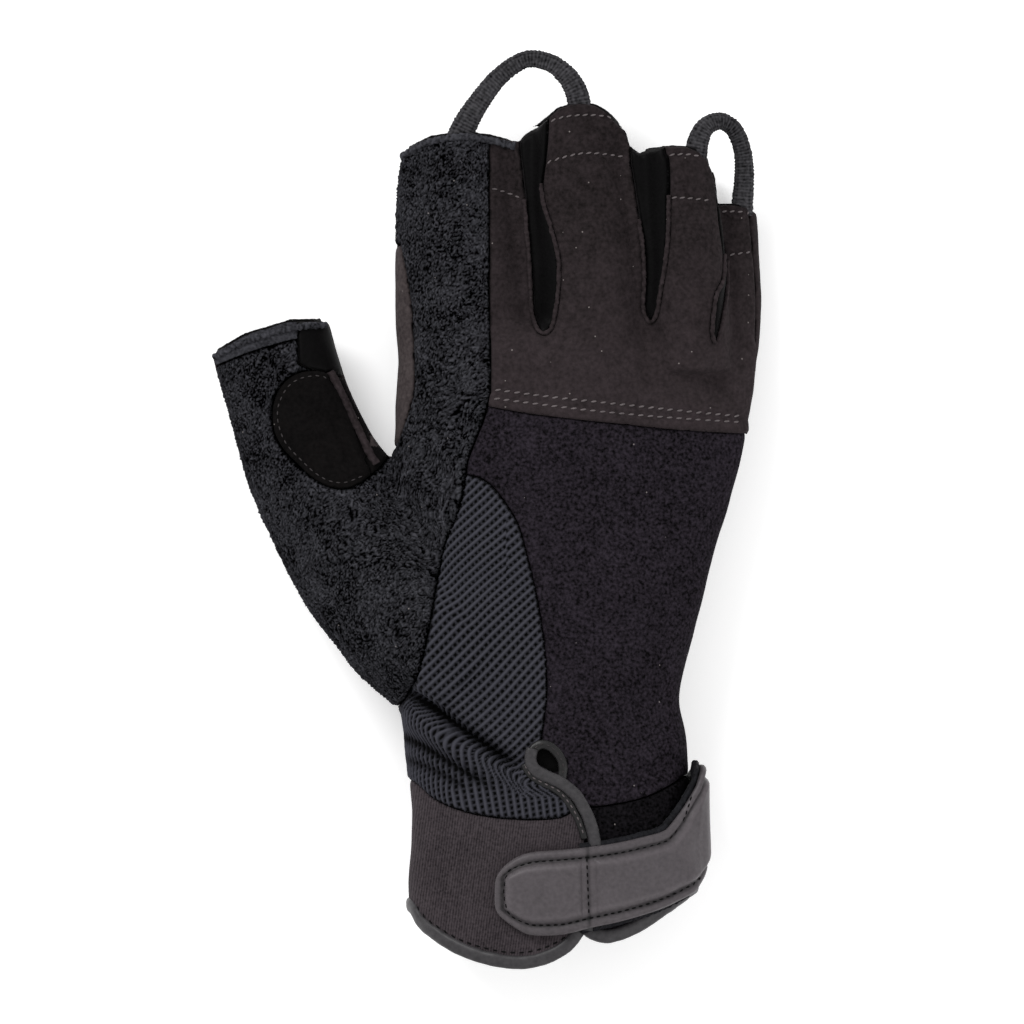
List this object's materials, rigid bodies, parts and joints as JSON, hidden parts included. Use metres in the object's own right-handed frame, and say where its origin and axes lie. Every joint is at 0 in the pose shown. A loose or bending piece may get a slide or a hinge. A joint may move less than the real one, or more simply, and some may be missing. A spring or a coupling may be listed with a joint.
{
  "type": "sailing glove",
  "caption": "Short-fingered right-hand sailing glove with towelling thumb and index panel, stretch back, mesh gusset, hook-and-loop wrist strap and finger-tip pull loops.",
  "frame": {"origin": "on the resting surface, under the middle of the glove", "axes": "+Y along the fingers, +Z out of the back of the hand, -X towards the thumb"},
  "size_m": [0.1373, 0.2281, 0.0465],
  "materials": {
    "towelling": "matt towelling",
    "suede": "brushed microfibre suede",
    "stretch": "matt stretch knit",
    "mesh": "open waffle knit",
    "neoprene": "fine knit over neoprene",
    "piping": "smooth synthetic leather",
    "lycra": "shiny stretch knit",
    "leatherette": "satin synthetic leather",
    "hook": "hook and loop pile",
    "webbing": "knitted elastic"
  },
  "bodies": {
    "glove": {"towel_panel": "towelling", "thumb_hem": "towelling", "knuckle_panel": "suede", "index_edge_strip": "suede", "thumb_patch": "suede", "palm_panel": "suede", "thumb_palm_panel": "suede", "palm_patch": "suede", "back_panel": "stretch", "mesh_gusset": "mesh", "cuff_band": "neoprene", "cuff_hem_binding": "piping", "slit_binding": "piping", "fourchette_index_middle": "lycra", "fourchette_middle_ring": "lycra", "fourchette_ring_little": "lycra", "index_tip_facing": "lycra", "middle_tip_facing": "lycra", "ring_tip_facing": "lycra", "little_tip_facing": "lycra", "thumb_tip_facing": "lycra", "strap_anchor": "leatherette", "cuff_loop_patch": "hook"},
    "strap": {"wrist_strap": "leatherette", "strap_lining": "hook", "strap_hook_patch": "hook"},
    "index_middle_loop": {"index_middle_pull_loop": "webbing"},
    "ring_little_loop": {"ring_little_pull_loop": "webbing"}
  },
  "joints": [
    {"name": "strap_open", "type": "hinge", "parent": "glove", "child": "strap", "pos_m": [0.0562, -0.0785, 0.0238], "axis": [-0.075, 0.9972, 0], "range_deg": [0, 100]},
    {"name": "index_middle_loop_flop", "type": "hinge", "parent": "glove", "child": "index_middle_loop", "pos_m": [-0.0054, 0.0946, 0.0246], "axis": [0.9652, 0.2523, 0.0694], "range_deg": [-35, 50], "stiffness_Nm_per_rad": 0.001},
    {"name": "ring_little_loop_flop", "type": "hinge", "parent": "glove", "child": "ring_little_loop", "pos_m": [0.0528, 0.0928, 0.0225], "axis": [0.5444, -0.6644, -0.5121], "range_deg": [-25, 35], "stiffness_Nm_per_rad": 0.001}
  ]
}
